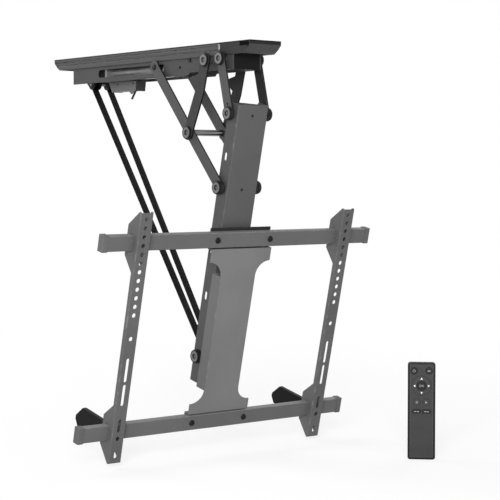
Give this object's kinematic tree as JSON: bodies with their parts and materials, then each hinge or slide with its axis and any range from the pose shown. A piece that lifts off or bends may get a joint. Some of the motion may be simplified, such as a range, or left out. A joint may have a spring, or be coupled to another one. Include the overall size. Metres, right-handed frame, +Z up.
{
  "type": "motorized tv ceiling mount",
  "caption": "Ceiling tray with a motor-driven folding column, screen bars and adjustable brackets, and its remote control.",
  "frame": {"origin": "middle of the ceiling tray's top face", "axes": "+Z up to the ceiling, +X along the screen bars, +Y to the rear, away from the screen"},
  "size_m": [0.65, 0.8547, 0.8],
  "materials": {
    "powder": "satin dark grey powder coat",
    "powder_light": "satin grey powder coat",
    "powder_dark": "satin black powder coat",
    "zinc": "zinc plated",
    "steel": "polished",
    "black_plastic": "moulded",
    "cap_plastic": "fine moulded grain",
    "window": "infrared window",
    "webbing": "woven",
    "remote_case": "fine grain",
    "rubber_key": "soft",
    "cell": "plain metal can"
  },
  "bodies": {
    "ceiling_unit": {"ceiling_tray": "powder", "nose_cap": "cap_plastic", "receiver_window": "window", "rail_left": "powder", "rail_right": "powder", "front_plate": "powder_dark", "rail_screws": "steel", "gearmotor": "zinc", "gearbox": "powder_dark", "winch_bearings": "powder_dark", "control_bracket": "powder", "control_box": "cap_plastic", "end_block": "black_plastic", "receiver_stub": "black_plastic", "power_inlet": "black_plastic", "upper_pivots": "zinc", "upper_collars": "black_plastic", "strap_left": "webbing", "strap_right": "webbing"},
    "winch": {"winch_shaft": "steel", "spools": "black_plastic"},
    "crank_arms": {"crank_arm_left": "powder", "crank_arm_right": "powder"},
    "main_arms": {"main_arm_left": "powder_light", "main_arm_right": "powder_light", "cross_axle": "steel", "axle_screws": "zinc", "middle_collars": "black_plastic", "slide_pins": "steel"},
    "link_arms": {"link_arm_left": "powder", "link_arm_right": "powder", "link_screws": "zinc", "link_collars": "black_plastic"},
    "screen_column": {"column": "powder", "spine_plate": "powder_light", "saddle_upper": "powder_dark", "saddle_lower": "powder_dark", "upper_bar": "powder_light", "lower_bar": "powder_light", "bar_end_caps": "black_plastic", "bar_bolts": "powder_dark", "column_screws": "zinc", "column_collars": "black_plastic", "strap_pin": "zinc"},
    "left_bracket": {"bracket_left": "powder"},
    "right_bracket": {"bracket_right": "powder"},
    "left_lever": {"lever_left": "powder_dark"},
    "right_lever": {"lever_right": "powder_dark"},
    "remote": {"remote_front": "remote_case", "remote_back": "remote_case", "batteries": "cell"},
    "remote_door": {"battery_door": "remote_case"},
    "key_power_body": {"key_power": "rubber_key"},
    "key_mute_body": {"key_mute": "rubber_key"},
    "key_ring_body": {"key_ring": "rubber_key"},
    "key_ok_body": {"key_ok": "rubber_key"},
    "key_left_body": {"key_left": "rubber_key"},
    "key_right_body": {"key_right": "rubber_key"},
    "pill_left_body": {"pill_left": "rubber_key"},
    "pill_right_body": {"pill_right": "rubber_key"}
  },
  "joints": [
    {"name": "fold", "type": "hinge", "parent": "ceiling_unit", "child": "crank_arms", "pos_m": [0, -0.2155, -0.0315], "axis": [1, 0, 0], "range_deg": [0, 55.58], "deforming": ["strap_left", "strap_right"]},
    {"name": "knee", "type": "hinge", "parent": "crank_arms", "child": "main_arms", "pos_m": [0, -0.1605, -0.1695], "axis": [1, 0, 0], "range_deg": [-95.22, 0]},
    {"name": "column_tilt", "type": "hinge", "parent": "main_arms", "child": "screen_column", "pos_m": [0, -0.25546, -0.27613], "axis": [1, 0, 0], "range_deg": [0, 116.45]},
    {"name": "link_swing", "type": "hinge", "parent": "ceiling_unit", "child": "link_arms", "pos_m": [0, -0.2625, -0.031], "axis": [1, 0, 0], "range_deg": [-45.78, 0]},
    {"name": "winch_turn", "type": "hinge", "parent": "ceiling_unit", "child": "winch", "pos_m": [0, 0.2075, -0.0584], "axis": [1, 0, 0], "range_deg": [0, 4446.14]},
    {"name": "left_bracket_slide", "type": "slide", "parent": "screen_column", "child": "left_bracket", "axis": [1, 0, 0], "range_m": [-0.049, 0.141]},
    {"name": "right_bracket_slide", "type": "slide", "parent": "screen_column", "child": "right_bracket", "axis": [1, 0, 0], "range_m": [-0.141, 0.049]},
    {"name": "left_lever_turn", "type": "hinge", "parent": "left_bracket", "child": "left_lever", "pos_m": [-0.245, -0.18298, -0.754], "axis": [1, 0, 0], "range_deg": [-50, 0]},
    {"name": "right_lever_turn", "type": "hinge", "parent": "right_bracket", "child": "right_lever", "pos_m": [0.247, -0.18298, -0.754], "axis": [1, 0, 0], "range_deg": [-50, 0]},
    {"name": "remote_lift", "type": "slide", "parent": "ceiling_unit", "child": "remote", "axis": [0, 0, 1], "range_m": [0, 0.12]},
    {"name": "door_slide", "type": "slide", "parent": "remote", "child": "remote_door", "axis": [0.7071, 0.7071, 0], "range_m": [0, 0.025]},
    {"name": "key_power_press", "type": "slide", "parent": "remote", "child": "key_power_body", "axis": [0.7071, 0.7071, 0], "range_m": [0, 0.001], "stiffness_N_per_m": 300, "springref_m": -0.001},
    {"name": "key_mute_press", "type": "slide", "parent": "remote", "child": "key_mute_body", "axis": [0.7071, 0.7071, 0], "range_m": [0, 0.001], "stiffness_N_per_m": 300, "springref_m": -0.001},
    {"name": "key_ring_press", "type": "slide", "parent": "remote", "child": "key_ring_body", "axis": [0.7071, 0.7071, 0], "range_m": [0, 0.001], "stiffness_N_per_m": 300, "springref_m": -0.001},
    {"name": "key_ok_press", "type": "slide", "parent": "remote", "child": "key_ok_body", "axis": [0.7071, 0.7071, 0], "range_m": [0, 0.001], "stiffness_N_per_m": 300, "springref_m": -0.001},
    {"name": "key_left_press", "type": "slide", "parent": "remote", "child": "key_left_body", "axis": [0.7071, 0.7071, 0], "range_m": [0, 0.001], "stiffness_N_per_m": 300, "springref_m": -0.001},
    {"name": "key_right_press", "type": "slide", "parent": "remote", "child": "key_right_body", "axis": [0.7071, 0.7071, 0], "range_m": [0, 0.001], "stiffness_N_per_m": 300, "springref_m": -0.001},
    {"name": "pill_left_press", "type": "slide", "parent": "remote", "child": "pill_left_body", "axis": [0.7071, 0.7071, 0], "range_m": [0, 0.001], "stiffness_N_per_m": 300, "springref_m": -0.001},
    {"name": "pill_right_press", "type": "slide", "parent": "remote", "child": "pill_right_body", "axis": [0.7071, 0.7071, 0], "range_m": [0, 0.001], "stiffness_N_per_m": 300, "springref_m": -0.001}
  ],
  "couplings": [
    {"joint": "knee", "follows": "fold", "ratio": -1.7134},
    {"joint": "column_tilt", "follows": "fold", "ratio": 2.0952},
    {"joint": "link_swing", "follows": "fold", "ratio": -0.82377},
    {"joint": "winch_turn", "follows": "fold", "ratio": 80}
  ]
}
